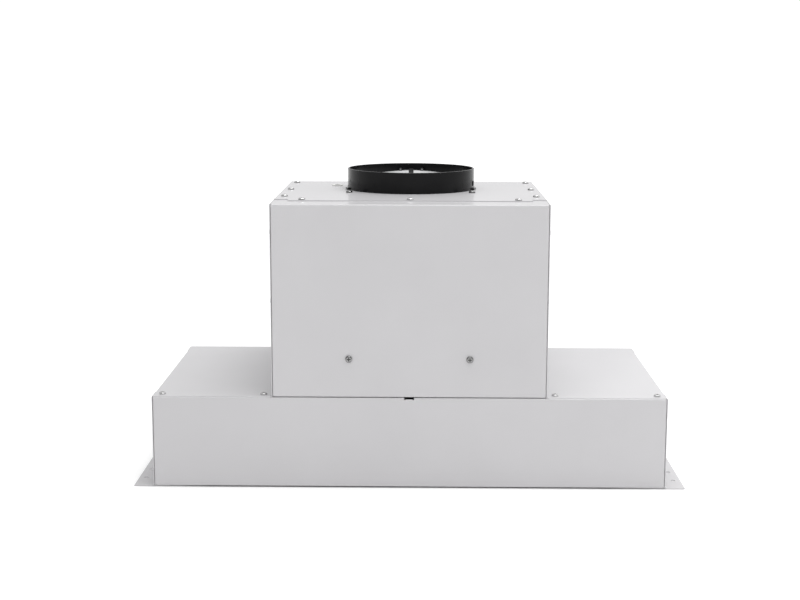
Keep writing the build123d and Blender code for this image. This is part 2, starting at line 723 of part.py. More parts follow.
def impeller():
    """Double-inlet wheel: centre disc, forward-curved blades through both halves, an end ring each side."""
    tip = Vector(impeller_radius - blade_tip_inset, 0)
    chord_turn = radians(blade_lean)
    length = (tip.X - blade_inner_radius) / cos(chord_turn)
    root = Vector(tip.X - length * cos(chord_turn), -length * sin(chord_turn))
    chord = tip - root
    bow = Vector(-chord.Y, chord.X).normalized() * blade_bulge
    middle = (tip + root) * 0.5 - bow
    line = ThreePointArc(root, middle, tip)
    section = make_face(offset(line, amount=blade_thickness, side=Side.LEFT))
    blades = Sketch() + [Rot(0, 0, index * 360 / blade_count) * section for index in range(blade_count)]
    half = impeller_half_width
    wheel = extrude(Pos(0, 0, -half) * blades, amount=2 * half)
    rim = Circle(impeller_radius) - Circle(impeller_radius - end_ring_depth)
    for z in (-half, half - end_ring_width):
        wheel += extrude(Pos(0, 0, z) * rim, amount=end_ring_width)
    disc = Circle(impeller_radius) - Circle(hub_radius)
    wheel += extrude(Pos(0, 0, -impeller_disc / 2) * disc, amount=impeller_disc)
    return Pos(0, axis_y, axis_z) * Rot(0, 90, 0) * wheel


def impeller_hub():
    face = impeller_disc / 2
    part = rod(hub_flange_radius, (face, axis_y, axis_z), "X", hub_flange_thickness)
    part += rod(hub_radius, (-face, axis_y, axis_z), "X", hub_length + face)
    return part - rod(shaft_radius, (-face - 1, axis_y, axis_z), "X", hub_length + 2 * face + 2)


motor_nose = -impeller_disc / 2 - motor_gap
motor_rear = -scroll_half_width - mount_rubber


def motor_shaft():
    start = motor_nose - motor_shaft_bore + shaft_end_play
    return rod(shaft_radius, (start, axis_y, axis_z), "X", shaft_reach - start)


def motor_body():
    length = motor_nose - motor_rear
    part = rod(motor_radius, (motor_rear, axis_y, axis_z), "X", length)
    ends = part.edges().filter_by(GeomType.CIRCLE)
    part = chamfer(ends.sort_by(Axis.X)[-1], motor_bevel)
    return part - rod(shaft_radius + running_clearance, (motor_nose - motor_shaft_bore, axis_y, axis_z),
                      "X", motor_shaft_bore + 1)


def motor_bracket():
    """Spider with three arms from the motor's rear to the scroll's side plate."""
    x1 = motor_rear
    x0 = x1 - mount_plate
    part = rod(mount_disc_radius, (x0, axis_y, axis_z), "X", mount_plate)
    for index in range(3):
        arm = block(x0, x1, -mount_arm_width / 2, mount_arm_width / 2, 0, mount_radius)
        arm += rod(mount_arm_width / 2, (x0, 0, mount_radius), "X", mount_plate)
        part += Pos(0, axis_y, axis_z) * Rot(120 * index, 0, 0) * arm
    for y, z in mount_spots():
        part -= rod(screw_hole_radius, (x0 - 1, y, z), "X", mount_plate + 2)
    return part


def motor_mounts():
    """Rubber rings between the spider's arms and the scroll."""
    rings = []
    for y, z in mount_spots():
        ring = rod(mount_rubber_radius, (motor_rear, y, z), "X", mount_rubber)
        rings.append(ring - rod(screw_hole_radius, (motor_rear - 1, y, z), "X", mount_rubber + 2))
    return Compound(rings)


def motor_screws():
    seat = motor_rear - mount_plate
    length = mount_plate + mount_rubber + sheet
    return [Pos(seat, y, z) * head_to_left * pan_screw(length) for y, z in mount_spots()]


def blower_bracket():
    """Angle behind the front panel: an upright foot, and a shelf that reaches to the scroll's front."""
    low = front_screw_z - bracket_foot / 2
    high = low + bracket_foot
    r1 = quarter_radii[1] + sheet
    centre_y = axis_y + scroll_step / 2
    centre_z = axis_z - scroll_step / 2
    shelf_end = centre_y - sqrt(r1 ** 2 - (centre_z - low) ** 2) - bracket_clearance
    half = housing_half - front_screw_side + bracket_margin
    face = housing_front + sheet
    part = block(-half, half, face, face + bracket_sheet, low, high)
    part += block(-half, half, face, shelf_end, low, low + bracket_sheet)
    part -= extrude(Plane.YZ.offset(-scroll_half_width - bracket_clearance) * scroll_room(),
                    amount=2 * (scroll_half_width + bracket_clearance))
    for x, z in front_screws:
        part -= rod(screw_hole_radius, (x, face - 1, z), "Y", bracket_sheet + 2)
    return part


def scroll_room():
    """Disc that stands for the scroll's lower front quarter, with the bracket's clearance."""
    radius = quarter_radii[1] + sheet + bracket_clearance
    return Pos(axis_y + scroll_step / 2, axis_z - scroll_step / 2) * Circle(radius)


def capacitor():
    spot = (-housing_inside, front + capacitor_front, housing_top - capacitor_drop)
    part = rod(capacitor_radius, spot, "X", capacitor_length)
    return fillet(part.edges().filter_by(GeomType.CIRCLE).sort_by(Axis.X)[-1], capacitor_edge)


def cable_grommet():
    spot = (grommet_x, grommet_y)
    low = housing_top - grommet_below
    part = rod(grommet_outer, (*spot, low), "Z", grommet_below)
    part += rod(grommet_neck, (*spot, low), "Z", plate_top + grommet_above - low)
    part += rod(grommet_outer, (*spot, plate_top), "Z", grommet_above)
    return part - rod(grommet_bore, (*spot, low - 1), "Z", grommet_below + grommet_above + sheet + 2)


# ---- electronics, under the right wing ----
box_x0 = housing_half + box_inner_gap
box_x1 = canopy_half - box_outer_gap
box_y0 = front + box_front
box_y1 = box_y0 + box_depth
box_bottom = canopy_height - box_height
board_x0 = box_x0 + board_gap
board_x1 = box_x1 - board_gap
board_y0 = box_y0 + board_gap
board_y1 = box_y1 - board_gap


def electronics_box():
    part = block(box_x0, box_x1, box_y0, box_y1, box_bottom, canopy_height)
    return part - block(box_x0 + box_wall, box_x1 - box_wall, box_y0 + box_wall, box_y1 - box_wall,
                        box_bottom - 1, canopy_height - box_wall)


def electronics_lid():
    part = block(box_x0, box_x1, box_y0, box_y1, box_bottom - box_wall, box_bottom)
    for x in (board_x0 + board_post_inset, board_x1 - board_post_inset):
        for y in (board_y0 + board_post_inset, board_y1 - board_post_inset):
            part += rod(board_post_radius, (x, y, box_bottom), "Z", board_stand)
    return part


def circuit_board():
    low = box_bottom + board_stand
    return block(board_x0, board_x1, board_y0, board_y1, low, low + board_thickness)


def terminal_block():
    length, width, height = terminal_size
    low = box_bottom + board_stand + board_thickness
    x0 = (box_x0 + box_x1 - length) / 2
    y = board_y1 - width
    part = block(x0, x0 + length, y, y + width, low, low + height)
    for index in range(terminal_count):
        x = x0 + length / terminal_count * (index + 0.5)
        bottom = low + height - terminal_hole_depth
        part -= rod(terminal_hole_radius, (x, y + width / 2, bottom), "Z", terminal_hole_depth + 1)
    return part


# ---- underside ----
fascia_top = fascia_level + sheet
strip_back = inner_front + fascia_strip
rear_lip = inner_back - fascia_rear_strip
opening_x0 = fascia_middle_bar / 2
opening_x1 = canopy_inside - fascia_side_strip
strip_middle = (inner_front + strip_back) / 2
fascia_half = canopy_inside - panel_gap - sheet
lamp_x = canopy_half - lamp_inset
button_room = button_pitch * (len(button_names) - 1) + button_width
switch_half_x = button_room / 2 + switch_margin
switch_half_y = button_depth / 2 + switch_margin


def bottom_fascia():
    """Underside sheet with upturned edges, two filter openings, two lamp holes and the switch opening."""
    half = fascia_half
    part = block(-half + bend_radius, half - bend_radius, inner_front + bend_radius, inner_back - bend_radius,
                 fascia_level, fascia_top)
    rise = fascia_level + fascia_flange
    inner = bend_radius + fascia_corner
    side_points = [(rise, half), (fascia_level, half), (fascia_level, half - 2 * bend_radius)]
    side = folded(Plane.ZX, side_points, inner_front + inner, inner_back - inner, Side.LEFT)
    face_points = [(inner_front, rise), (inner_front, fascia_level),
                   (inner_front + 2 * bend_radius, fascia_level)]
    face = folded(Plane.YZ, face_points, -half + side_return, half - side_return, Side.LEFT)
    part += side + mirror(side, Plane.YZ) + face + mirror(face, Plane.XZ)
    for x0, x1 in ((-opening_x1, -opening_x0), (opening_x0, opening_x1)):
        part -= block(x0, x1, strip_back, rear_lip, fascia_level - 1, fascia_top + 1)
    for x in (-lamp_x, lamp_x):
        part -= rod(lamp_hole_radius, (x, strip_middle, fascia_level - 1), "Z", sheet + 2)
    room_x = switch_half_x + switch_gap
    room_y = switch_half_y + switch_gap
    part -= block(-room_x, room_x, strip_middle - room_y, strip_middle + room_y,
                  fascia_level - 1, fascia_top + 1)
    return part - canopy_rivet_holes()


filter_x0 = opening_x0 + filter_side_gap
filter_x1 = opening_x1 - filter_side_gap
filter_y0 = strip_back + filter_front_gap
filter_y1 = rear_lip - filter_rear_gap
filter_z0 = fascia_level
filter_z1 = filter_z0 + filter_thickness
filter_middle = (filter_x0 + filter_x1) / 2
window_x0 = filter_x0 + filter_rail
window_x1 = filter_x1 - filter_rail
window_y0 = filter_y0 + filter_front_rail
window_y1 = filter_y1 - filter_rail
groove_z0 = filter_z0 + (filter_thickness - filter_groove_height) / 2
groove_z1 = groove_z0 + filter_groove_height
latch_y0 = filter_y0 + latch_wall
latch_z0 = filter_z0 + latch_lift
pocket_y1 = latch_y0 + latch_length + latch_travel + latch_end_room


def filter_frame_right():
    """Grooved rails around the mesh, a pocket for the latch and two tabs over the fascia's rear lip."""
    part = block(filter_x0, filter_x1, filter_y0, filter_y1, filter_z0, filter_z1)
    part = fillet(part.edges().filter_by(Axis.Z), filter_corner)
    part -= block(window_x0, window_x1, window_y0, window_y1, filter_z0 - 1, filter_z1 + 1)
    part -= block(window_x0 - filter_groove, window_x1 + filter_groove, window_y0 - filter_groove,
                  window_y1 + filter_groove, groove_z0, groove_z1)
    pocket = latch_width / 2 + latch_gap
    part -= block(filter_middle - pocket, filter_middle + pocket, latch_y0 - latch_gap, pocket_y1,
                  latch_z0 - latch_gap, filter_z1 + 1)
    ledge = pocket - latch_ledge
    part -= block(filter_middle - ledge, filter_middle + ledge, latch_y0 - latch_gap, pocket_y1,
                  filter_z0 - 1, latch_z0)
    nose = latch_nose_width / 2 + latch_gap
    part -= block(filter_middle - nose, filter_middle + nose, filter_y0 - 1, latch_y0,
                  latch_z0 - latch_gap, latch_z0 + latch_nose_height + latch_gap)
    tab_z = fascia_top + rear_tab_lift
    for side in (-1, 1):
        x = filter_middle + side * tab_spacing / 2
        part += block(x - rear_tab_width / 2, x + rear_tab_width / 2,
                      filter_y1 - 1, rear_lip + rear_tab_reach, tab_z, tab_z + rear_tab_thickness)
    return part


def filter_mesh_right():
    """Two perforated screens, at the bottom and the top of the rails' groove."""
    edge = filter_groove - screen_edge_gap
    width = window_x1 - window_x0 + 2 * edge
    depth = window_y1 - window_y0 + 2 * edge
    middle = (filter_middle, (window_y0 + window_y1) / 2)
    pitch_x = (window_x1 - window_x0) / screen_columns
    pitch_y = (window_y1 - window_y0) / screen_rows
    half_x = screen_hole_width / 2
    half_y = screen_hole_depth / 2
    hole = make_face(Polyline((half_x, 0), (0, half_y), (-half_x, 0), (0, -half_y), close=True))
    holes = GridLocations(pitch_x, pitch_y, screen_columns, screen_rows) * hole
    sheet_face = Pos(*middle) * (Rectangle(width, depth) - holes)
    levels = (groove_z0, groove_z1 - screen_thickness)
    return Compound([extrude(Pos(0, 0, z) * sheet_face, amount=screen_thickness).solid() for z in levels])


def filter_latch_right():
    """Slider with a nose towards the front and a finger grip below."""
    half = latch_width / 2
    part = block(filter_middle - half, filter_middle + half, latch_y0, latch_y0 + latch_length,
                 latch_z0, latch_z0 + latch_height)
    nose = latch_nose_width / 2
    nose_end = strip_back + latch_nose_gap
    part += block(filter_middle - nose, filter_middle + nose, nose_end, latch_y0,
                  latch_z0, latch_z0 + latch_nose_height)
    grip = latch_grip_width / 2
    grip_y = latch_y0 + latch_grip_place
    part += block(filter_middle - grip, filter_middle + grip, grip_y, grip_y + latch_grip_thickness,
                  latch_z0 - latch_grip_drop, latch_z0)
    tips = part.edges().filter_by(Axis.X).group_by(Axis.Z)[0]
    return fillet(tips, latch_grip_edge)


def latch_spring_right():
    """Coil spring between the latch and the back of its pocket."""
    start = latch_y0 + latch_length + spring_free
    length = pocket_y1 - spring_free - start - spring_wire
    coil = Helix(pitch=length / spring_turns, height=length, radius=spring_radius)
    profile = Plane(coil @ 0, z_dir=coil % 0) * Circle(spring_wire / 2)
    spring = sweep(profile, path=coil)
    middle = latch_z0 + latch_height / 2
    return Pos(filter_middle, start + spring_wire / 2, middle) * Rot(-90, 0, 0) * spring


# ---- lamps ----
def lamp_bezel_left():
    spot = (-lamp_x, strip_middle)
    low = fascia_level - lamp_bezel_thickness
    part = rod(lamp_bezel_radius, (*spot, low), "Z", lamp_bezel_thickness)
    part = chamfer(part.edges().group_by(Axis.Z)[0], lamp_bezel_edge)
    return part - rod(lamp_lens_radius - lamp_bezel_lap, (*spot, low - 1), "Z", lamp_bezel_thickness + 2)


def lamp_lens_left():
    return rod(lamp_lens_radius, (-lamp_x, strip_middle, fascia_level), "Z", lamp_lens_thickness)


def lamp_can_left():
    spot = (-lamp_x, strip_middle)
    part = rod(lamp_can_radius, (*spot, fascia_level), "Z", lamp_can_height)
    inner = lamp_can_radius - lamp_can_wall
    part -= rod(lamp_lens_radius, (*spot, fascia_level - 1), "Z", lamp_lens_thickness + 1)
    return part - rod(inner - lamp_can_seat, (*spot, fascia_level), "Z", lamp_can_height - lamp_can_wall)


# ---- push buttons ----
button_x = [button_pitch * (index - (len(button_names) - 1) / 2) for index in range(len(button_names))]
bezel_z0 = fascia_level - bezel_thickness
pocket_z1 = fascia_level + button_sink + button_travel + button_end_room


def button_windows(z0, z1):
    half_x = button_width / 2 + button_gap
    half_y = button_depth / 2 + button_gap
    return Compound([block(x - half_x, x + half_x, strip_middle - half_y, strip_middle + half_y, z0, z1)
                     for x in button_x])


def switch_bezel():
    half_x = switch_half_x + bezel_margin
    half_y = switch_half_y + bezel_margin
    part = block(-half_x, half_x, strip_middle - half_y, strip_middle + half_y, bezel_z0, fascia_level)
    part = fillet(part.edges().filter_by(Axis.Z), bezel_corner)
    part = chamfer(part.edges().group_by(Axis.Z)[0], bezel_edge)
    return part - button_windows(bezel_z0 - 1, fascia_level + 1)


def switch_body():
    part = block(-switch_half_x, switch_half_x, strip_middle - switch_half_y, strip_middle + switch_half_y,
                 fascia_level, fascia_level + switch_height)
    return part - button_windows(fascia_level - 1, pocket_z1)


def push_button(x):
    z0 = bezel_z0 - button_stand
    z1 = fascia_level + button_sink
    half_x = button_width / 2
    half_y = button_depth / 2
    part = block(x - half_x, x + half_x, strip_middle - half_y, strip_middle + half_y, z0, z1)
    part = fillet(part.edges().filter_by(Axis.Z), button_corner)
    return fillet(part.edges().group_by(Axis.Z)[0], button_edge)


# ---- fasteners ----
def top_plate_screws():
    return [Pos(x, y, plate_top) * pan_screw() for x, y in plate_screws]


def wing_screws():
    top = canopy_height + sheet
    spots = [(side * x, wing_screw_y) for side in (-1, 1) for x in wing_screw_x]
    return [Pos(x, y, top) * pan_screw() for x, y in spots]


def back_screws():
    spots = [side * x for side in (-1, 1) for x in back_screw_x]
    return [Pos(x, back, back_screw_z) * head_to_back * pan_screw() for x in spots]


def front_face_screws():
    return [Pos(x, housing_front, z) * head_to_front * pan_screw() for x, z in front_screws]


def blower_flange_screws():
    return [Pos(x, y, plate_top) * pan_screw() for x, y in blower_screws]


def panel_rivets():
    """Rivets through the upright folds of both boxes and through the wings' inner folds."""
    rivets = []
    for y in (-upright_rivet_y, upright_rivet_y):
        for z in canopy_rivet_z:
            layers = 3 if z < fascia_level + fascia_flange else 2
            rivets.append(Pos(-canopy_half, y, z) * head_to_left * rivet(layers * sheet + panel_gap))
        for z in housing_rivet_z:
            rivets.append(Pos(-housing_half, y, z) * head_to_left * rivet(2 * sheet + panel_gap))
    for y in wing_rivet_y:
        rivets.append(Pos(-housing_inside, y, wing_rivet_z) * head_to_right * rivet(2 * sheet))
    return rivets + [mirror(item, Plane.YZ) for item in rivets]


save("canopy_front_panel", canopy_front_panel())
save("canopy_back_panel", canopy_back_panel())
both_sides("canopy_side", canopy_side_left())
both_sides("canopy_wing", canopy_wing_left())
save("housing_front_panel", housing_front_panel())
save("housing_back_panel", housing_back_panel())
both_sides("housing_side", housing_side_left())
save("housing_top_plate", housing_top_plate())
save("duct_collar", duct_collar())
both_sides("damper_flap", mirror(flap_right(), Plane.YZ))
both_sides("flap_hinge", mirror(flap_hinge_right(), Plane.YZ))
save("cable_grommet", cable_grommet())
save("scroll_wrap", scroll_wrap())
both_sides("scroll_side", mirror(scroll_side_right(), Plane.YZ))
both_sides("inlet_ring", mirror(inlet_ring_right(), Plane.YZ))
save("impeller", impeller())
save("impeller_hub", impeller_hub())
save("motor_shaft", motor_shaft())
save("motor_body", motor_body())
save("motor_bracket", motor_bracket())
save("motor_mounts", motor_mounts())
save("blower_bracket", blower_bracket())
save("capacitor", capacitor())
save("electronics_box", electronics_box())
save("electronics_lid", electronics_lid())
save("circuit_board", circuit_board())
save("terminal_block", terminal_block())
save("bottom_fascia", bottom_fascia())
both_sides("filter_frame", mirror(filter_frame_right(), Plane.YZ))
both_sides("filter_mesh", mirror(filter_mesh_right(), Plane.YZ))
both_sides("filter_latch", mirror(filter_latch_right(), Plane.YZ))
both_sides("latch_spring", mirror(latch_spring_right(), Plane.YZ))
both_sides("lamp_bezel", lamp_bezel_left())
both_sides("lamp_lens", lamp_lens_left())
both_sides("lamp_can", lamp_can_left())
save("switch_bezel", switch_bezel())
save("switch_body", switch_body())
for button_name, place in zip(button_names, button_x):
    save(button_name, push_button(place))
save("top_plate_screws", *top_plate_screws())
save("wing_screws", *wing_screws(), *back_screws())
save("blower_screws", *front_face_screws(), *blower_flange_screws(), *motor_screws())
save("panel_rivets", *panel_rivets())
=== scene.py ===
"""Cabinet insert range hood: a wide canopy with a blower housing and a round duct collar on top.

Run as a script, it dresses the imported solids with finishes, adds the fine pieces that the solids
leave out, and sets the studio. Lengths are in metres. +Z is up and the front faces -Y.
"""

import json
import math

import bmesh
import bpy
from mathutils import Matrix, Vector


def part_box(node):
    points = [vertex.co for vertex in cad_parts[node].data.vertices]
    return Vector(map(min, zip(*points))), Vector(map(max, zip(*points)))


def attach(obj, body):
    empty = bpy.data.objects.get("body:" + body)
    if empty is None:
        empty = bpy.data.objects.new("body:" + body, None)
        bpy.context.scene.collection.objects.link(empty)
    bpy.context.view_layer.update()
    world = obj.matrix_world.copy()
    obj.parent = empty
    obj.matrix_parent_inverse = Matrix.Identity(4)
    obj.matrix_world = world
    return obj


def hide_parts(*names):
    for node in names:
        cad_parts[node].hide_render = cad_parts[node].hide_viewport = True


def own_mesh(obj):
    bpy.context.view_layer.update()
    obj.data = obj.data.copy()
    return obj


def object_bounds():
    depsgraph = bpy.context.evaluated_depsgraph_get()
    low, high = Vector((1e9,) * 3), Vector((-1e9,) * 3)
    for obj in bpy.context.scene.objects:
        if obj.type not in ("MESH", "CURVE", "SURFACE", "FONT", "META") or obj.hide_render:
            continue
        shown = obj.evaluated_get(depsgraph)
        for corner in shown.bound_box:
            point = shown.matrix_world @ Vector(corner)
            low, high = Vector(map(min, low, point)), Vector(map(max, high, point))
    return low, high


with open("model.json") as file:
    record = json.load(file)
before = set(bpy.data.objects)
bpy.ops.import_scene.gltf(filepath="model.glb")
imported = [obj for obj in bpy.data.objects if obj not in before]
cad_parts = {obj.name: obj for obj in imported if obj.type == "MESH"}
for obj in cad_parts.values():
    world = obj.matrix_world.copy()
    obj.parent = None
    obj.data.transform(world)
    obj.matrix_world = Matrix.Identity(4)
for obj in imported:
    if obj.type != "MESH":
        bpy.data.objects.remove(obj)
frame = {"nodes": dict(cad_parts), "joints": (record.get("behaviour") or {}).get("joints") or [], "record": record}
cad_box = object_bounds()

bl_info = {
    "name": "Cabinet insert range hood",
    "version": (1, 0, 0),
    "blender": (4, 5, 0),
    "location": "View3D > Sidebar > Range hood",
    "description": "Finishes and fine pieces of a cabinet insert range hood, with its studio",
    "category": "Object",
}

MM = 0.001

# ---- fixed sizes of the pieces ----
PIN_RADIUS = 1.05 * MM       # steel of the flaps' pins, with its running fit
DUCT_SPINE_REACH = 66 * MM   # how far from the duct's axis its spine and flap stops lie

OUTER_LAYER = 0.8            # strands between an outer layer of mesh and the filter screen's face
MESH_CUT = 1e-7              # how near a cut counts as on it
MESH_MERGE = 1e-6            # points nearer than this become one

LENS_STEPS = 64              # flats around a lens
LENS_RINGED = 0.9            # share of a lens's radius that has rings
LENS_FACE = 0.2 * MM         # the rings' crests, above the lens's lowest face
LENS_GROOVE = 0.7 * MM       # the grooves between them, above that face
LENS_STEEP = 0.25            # share of the pitch that a groove's steep side takes
LENS_BEVEL = 0.4 * MM        # bevel around a lens's lower edge

SPRING_WIRE = 0.5 * MM
SPRING_TURNS = 4
SPRING_STEPS = 24            # flats in one turn
SPRING_SIDES = 12            # flats around the wire


def linear(hex_colour):
    """Linear RGB of an sRGB hex value such as #D8D8D6."""
    parts = [int(hex_colour[i:i + 2], 16) / 255 for i in (1, 3, 5)]
    return tuple(c / 12.92 if c <= 0.04045 else ((c + 0.055) / 1.055) ** 2.4 for c in parts)


# ---- sizes and colours that a user would change ----
class HoodSizes(bpy.types.PropertyGroup):
    """Sizes of the fine pieces."""

    strand_long: bpy.props.FloatProperty(
        name="Mesh opening length", description="Long way of a diamond in the grease filter's mesh",
        default=9.4 * MM, unit="LENGTH")
    strand_short: bpy.props.FloatProperty(
        name="Mesh opening width", description="Short way of a diamond in the grease filter's mesh",
        default=5.8 * MM, unit="LENGTH")
    strand: bpy.props.FloatProperty(
        name="Mesh strand", description="Thickness of the strands of the grease filter's mesh",
        default=0.9 * MM, unit="LENGTH")
    lens_ring: bpy.props.FloatProperty(
        name="Lens ring pitch", description="Distance between the rings pressed into a lamp's lens",
        default=2.4 * MM, unit="LENGTH")


class HoodColours(bpy.types.PropertyGroup):
    """Colours of the main finishes."""

    paint: bpy.props.FloatVectorProperty(
        name="Panels", description="Powder coat of every panel", subtype="COLOR", size=3,
        default=linear("#CAC9CB"))
    collar: bpy.props.FloatVectorProperty(
        name="Collar", description="Moulded plastic of the duct collar", subtype="COLOR", size=3,
        default=linear("#171718"))
    buttons: bpy.props.FloatVectorProperty(
        name="Buttons", description="Moulded plastic of the push buttons", subtype="COLOR", size=3,
        default=linear("#E2E2DF"))


# ---- helpers for materials ----
def add(tree, kind, inputs=None, **settings):
    """Add one node, with its settings, its values and the links into it."""
    made = tree.nodes.new(kind)
    for name, value in settings.items():
        setattr(made, name, value)
    for name, value in (inputs or {}).items():
        if isinstance(value, bpy.types.NodeSocket):
            tree.links.new(value, made.inputs[name])
        else:
            made.inputs[name].default_value = value
    return made


def start(name):
    """A new material, its tree, its shader and its object coordinates."""
    material = bpy.data.materials.new(name)
    material.use_nodes = True
    tree = material.node_tree
    tree.nodes.clear()
    shader = add(tree, "ShaderNodeBsdfPrincipled")
    add(tree, "ShaderNodeOutputMaterial", {"Surface": shader.outputs["BSDF"]})
    place = add(tree, "ShaderNodeTexCoord").outputs["Object"]
    return material, tree, shader, place


def grain_scale(size):
    """Texture scale that gives grains of a real size in metres."""
    return 1.0 / size


def noise(tree, place, size, detail=3.0):
    """A pattern of soft grains of a real size."""
    grains = add(tree, "ShaderNodeTexNoise", {"Vector": place, "Scale": grain_scale(size), "Detail": detail})
    return grains.outputs["Fac"]


def uneven(tree, height, strength, depth=0.1 * MM):
    """Normals of a surface whose height follows a pattern."""
    bump = add(tree, "ShaderNodeBump", {"Height": height, "Strength": strength, "Distance": depth})
    return bump.outputs["Normal"]


def reckon(tree, operation, *values):
    """Result of one sum on numbers or outputs."""
    return add(tree, "ShaderNodeMath", dict(enumerate(values)), operation=operation).outputs["Value"]


def ranged(tree, factor, low, high, first=0.0, last=1.0):
    """A number that runs from low to high as the factor runs from first to last."""
    made = add(tree, "ShaderNodeMapRange", {
        "Value": factor, "From Min": first, "From Max": last, "To Min": low, "To Max": high})
    return made.outputs["Result"]


def spread(tree, factor, dark, light, low=0.35, high=0.65):
    """A colour that runs from dark to light as the factor runs from low to high."""
    ramp = add(tree, "ShaderNodeValToRGB", {"Fac": factor})
    for element, position, colour in zip(ramp.color_ramp.elements, (low, high), (dark, light)):
        element.position = position
        element.color = (*colour, 1)
    return ramp.outputs["Color"]


def from_line(tree, place, point, across):
    """Distance from a line through a point. across is 1 for each direction that counts, and 0 along it."""
    moved = [-value * counts for value, counts in zip(point, across)]
    level = add(tree, "ShaderNodeMapping", {"Vector": place, "Location": moved, "Scale": across})
    distance = add(tree, "ShaderNodeVectorMath", {0: level.outputs["Vector"]}, operation="LENGTH")
    return distance.outputs["Value"]


def shade(colour, factor):
    """A colour made darker or lighter by a factor."""
    return tuple(min(1.0, c * factor) for c in colour)


def connect(tree, shader, **links):
    """Link outputs to the shader's inputs, whose names have _ for a space."""
    for name, output in links.items():
        tree.links.new(output, shader.inputs[name.replace("_", " ")])


def settle(shader, **values):
    """Set constants on the shader's own inputs."""
    for name, value in values.items():
        shader.inputs[name.replace("_", " ")].default_value = value


# ---- finishes ----
def powder_coated_steel(colour):
    """Polyester powder coat, cured on steel: a satin under a thin gloss, with a fine orange peel."""
    material, tree, shader, place = start("powder_coated_steel")
    peel = noise(tree, place, 1.6 * MM, 2.0)
    flow = noise(tree, place, 90 * MM)
    settle(shader, IOR=1.5, Specular_IOR_Level=0.2, Coat_Weight=0.5, Coat_Roughness=0.08)
    connect(tree, shader,
            Base_Color=spread(tree, flow, shade(colour, 0.985), shade(colour, 1.01)),
            Roughness=ranged(tree, flow, 0.45, 0.55),
            Normal=uneven(tree, peel, 0.03, 0.2 * MM))
    return material


def moulded_abs(name, colour, rough=0.42, grain=0.5 * MM, gloss=0.5, relief=0.12):
    """ABS from a spark-eroded mould: an even satin with a fine grain."""
    material, tree, shader, place = start(name)
    broad = noise(tree, place, 25 * MM, 2.0)
    settle(shader, IOR=1.53, Specular_IOR_Level=gloss)
    connect(tree, shader,
            Base_Color=spread(tree, broad, shade(colour, 0.9), shade(colour, 1.12)),
            Roughness=ranged(tree, broad, rough - 0.05, rough + 0.05),
            Normal=uneven(tree, noise(tree, place, grain), relief))
    return material


def dull_bore(material, node, radius):
    """The same finish, but dull and rough near the upright axis of a node: a duct's spine and its stops."""
    tree = material.node_tree
    shader = next(n for n in tree.nodes if n.type == "BSDF_PRINCIPLED")
    place = next(n for n in tree.nodes if n.type == "TEX_COORD").outputs["Object"]
    corners = [Vector(corner) for corner in frame["nodes"][node].bound_box]
    middle = sum(corners, Vector()) / len(corners)
    outside = reckon(tree, "GREATER_THAN", from_line(tree, place, middle, (1, 1, 0)), radius)
    smooth = shader.inputs["Roughness"].links[0].from_socket
    connect(tree, shader, Roughness=ranged(tree, outside, 0.85, smooth))
    return material


def rolled_aluminium(name, colour, along, rough):
    """Mill-finished aluminium: a bright sheet with faint lines along the rolling direction."""
    material, tree, shader, place = start(name)
    stretch = {"X": (0.02, 1, 1), "Y": (1, 0.02, 1), "Z": (1, 1, 0.02)}[along]
    drawn_out = add(tree, "ShaderNodeMapping", {"Vector": place, "Scale": stretch})
    lines = noise(tree, drawn_out.outputs["Vector"], 0.35 * MM, 2.0)
    settle(shader, Metallic=1.0)
    connect(tree, shader,
            Base_Color=spread(tree, lines, shade(colour, 0.92), colour),
            Roughness=ranged(tree, lines, rough - 0.06, rough + 0.08),
            Normal=uneven(tree, lines, 0.15))
    return material


def galvanised_steel():
    """Hot-dip galvanised sheet: grey zinc crystals of about a centimetre, each with its own shade."""
    material, tree, shader, place = start("galvanised_steel")
    crystals = add(tree, "ShaderNodeTexVoronoi", {"Vector": place, "Scale": grain_scale(11 * MM)})
    tone = add(tree, "ShaderNodeSeparateColor", {"Color": crystals.outputs["Color"]}).outputs["Red"]
    settle(shader, Metallic=1.0)
    connect(tree, shader,
            Base_Color=spread(tree, tone, linear("#9DA2A6"), linear("#C3C7CA"), 0.0, 1.0),
            Roughness=ranged(tree, tone, 0.34, 0.5),
            Normal=uneven(tree, noise(tree, place, 0.8 * MM), 0.1))
    return material


def plated_steel(name, colour, rough, recess=None):
    """Zinc or nickel plate on a cold-formed piece: bright, with small handling marks.

    recess is the reach in metres of a painted shade that darkens the colour in recesses and at the foot of the
    piece, where ambient occlusion finds it closed in.
    """
    material, tree, shader, place = start(name)
    marks = noise(tree, place, 1.2 * MM, 4.0)
    plate = spread(tree, marks, shade(colour, 0.82), colour)
    if recess:
        # Painted shade: where ambient occlusion is low, the colour runs towards near-black, so recesses and the
        # piece's foot look shaded.
        openness = add(tree, "ShaderNodeAmbientOcclusion", {"Distance": recess}, samples=8).outputs["AO"]
        recess_shade = add(tree, "ShaderNodeMix", data_type="RGBA")
        factor = next(s for s in recess_shade.inputs if s.name == "Factor" and s.enabled)
        dark, light = (s for s in recess_shade.inputs if s.type == "RGBA")
        # The near-black colour of the painted shade.
        dark.default_value = (*shade(colour, 0.05), 1)
        tree.links.new(reckon(tree, "POWER", openness, 3.0), factor)
        tree.links.new(plate, light)
        plate = next(s for s in recess_shade.outputs if s.type == "RGBA")
    settle(shader, Metallic=1.0)
    connect(tree, shader,
            Base_Color=plate,
            Roughness=ranged(tree, marks, rough - 0.06, rough + 0.1),
            Normal=uneven(tree, marks, 0.08))
    return material


def cast_aluminium():
    """Die-cast aluminium, shot-blasted: pale and evenly rough."""
    material, tree, shader, place = start("cast_aluminium")
    pits = noise(tree, place, 0.7 * MM, 4.0)
    settle(shader, Metallic=1.0)
    connect(tree, shader,
            Base_Color=spread(tree, pits, linear("#A2A4A6"), linear("#BFC1C3")),
            Roughness=ranged(tree, pits, 0.45, 0.6),
            Normal=uneven(tree, pits, 0.3, 0.2 * MM))
    return material


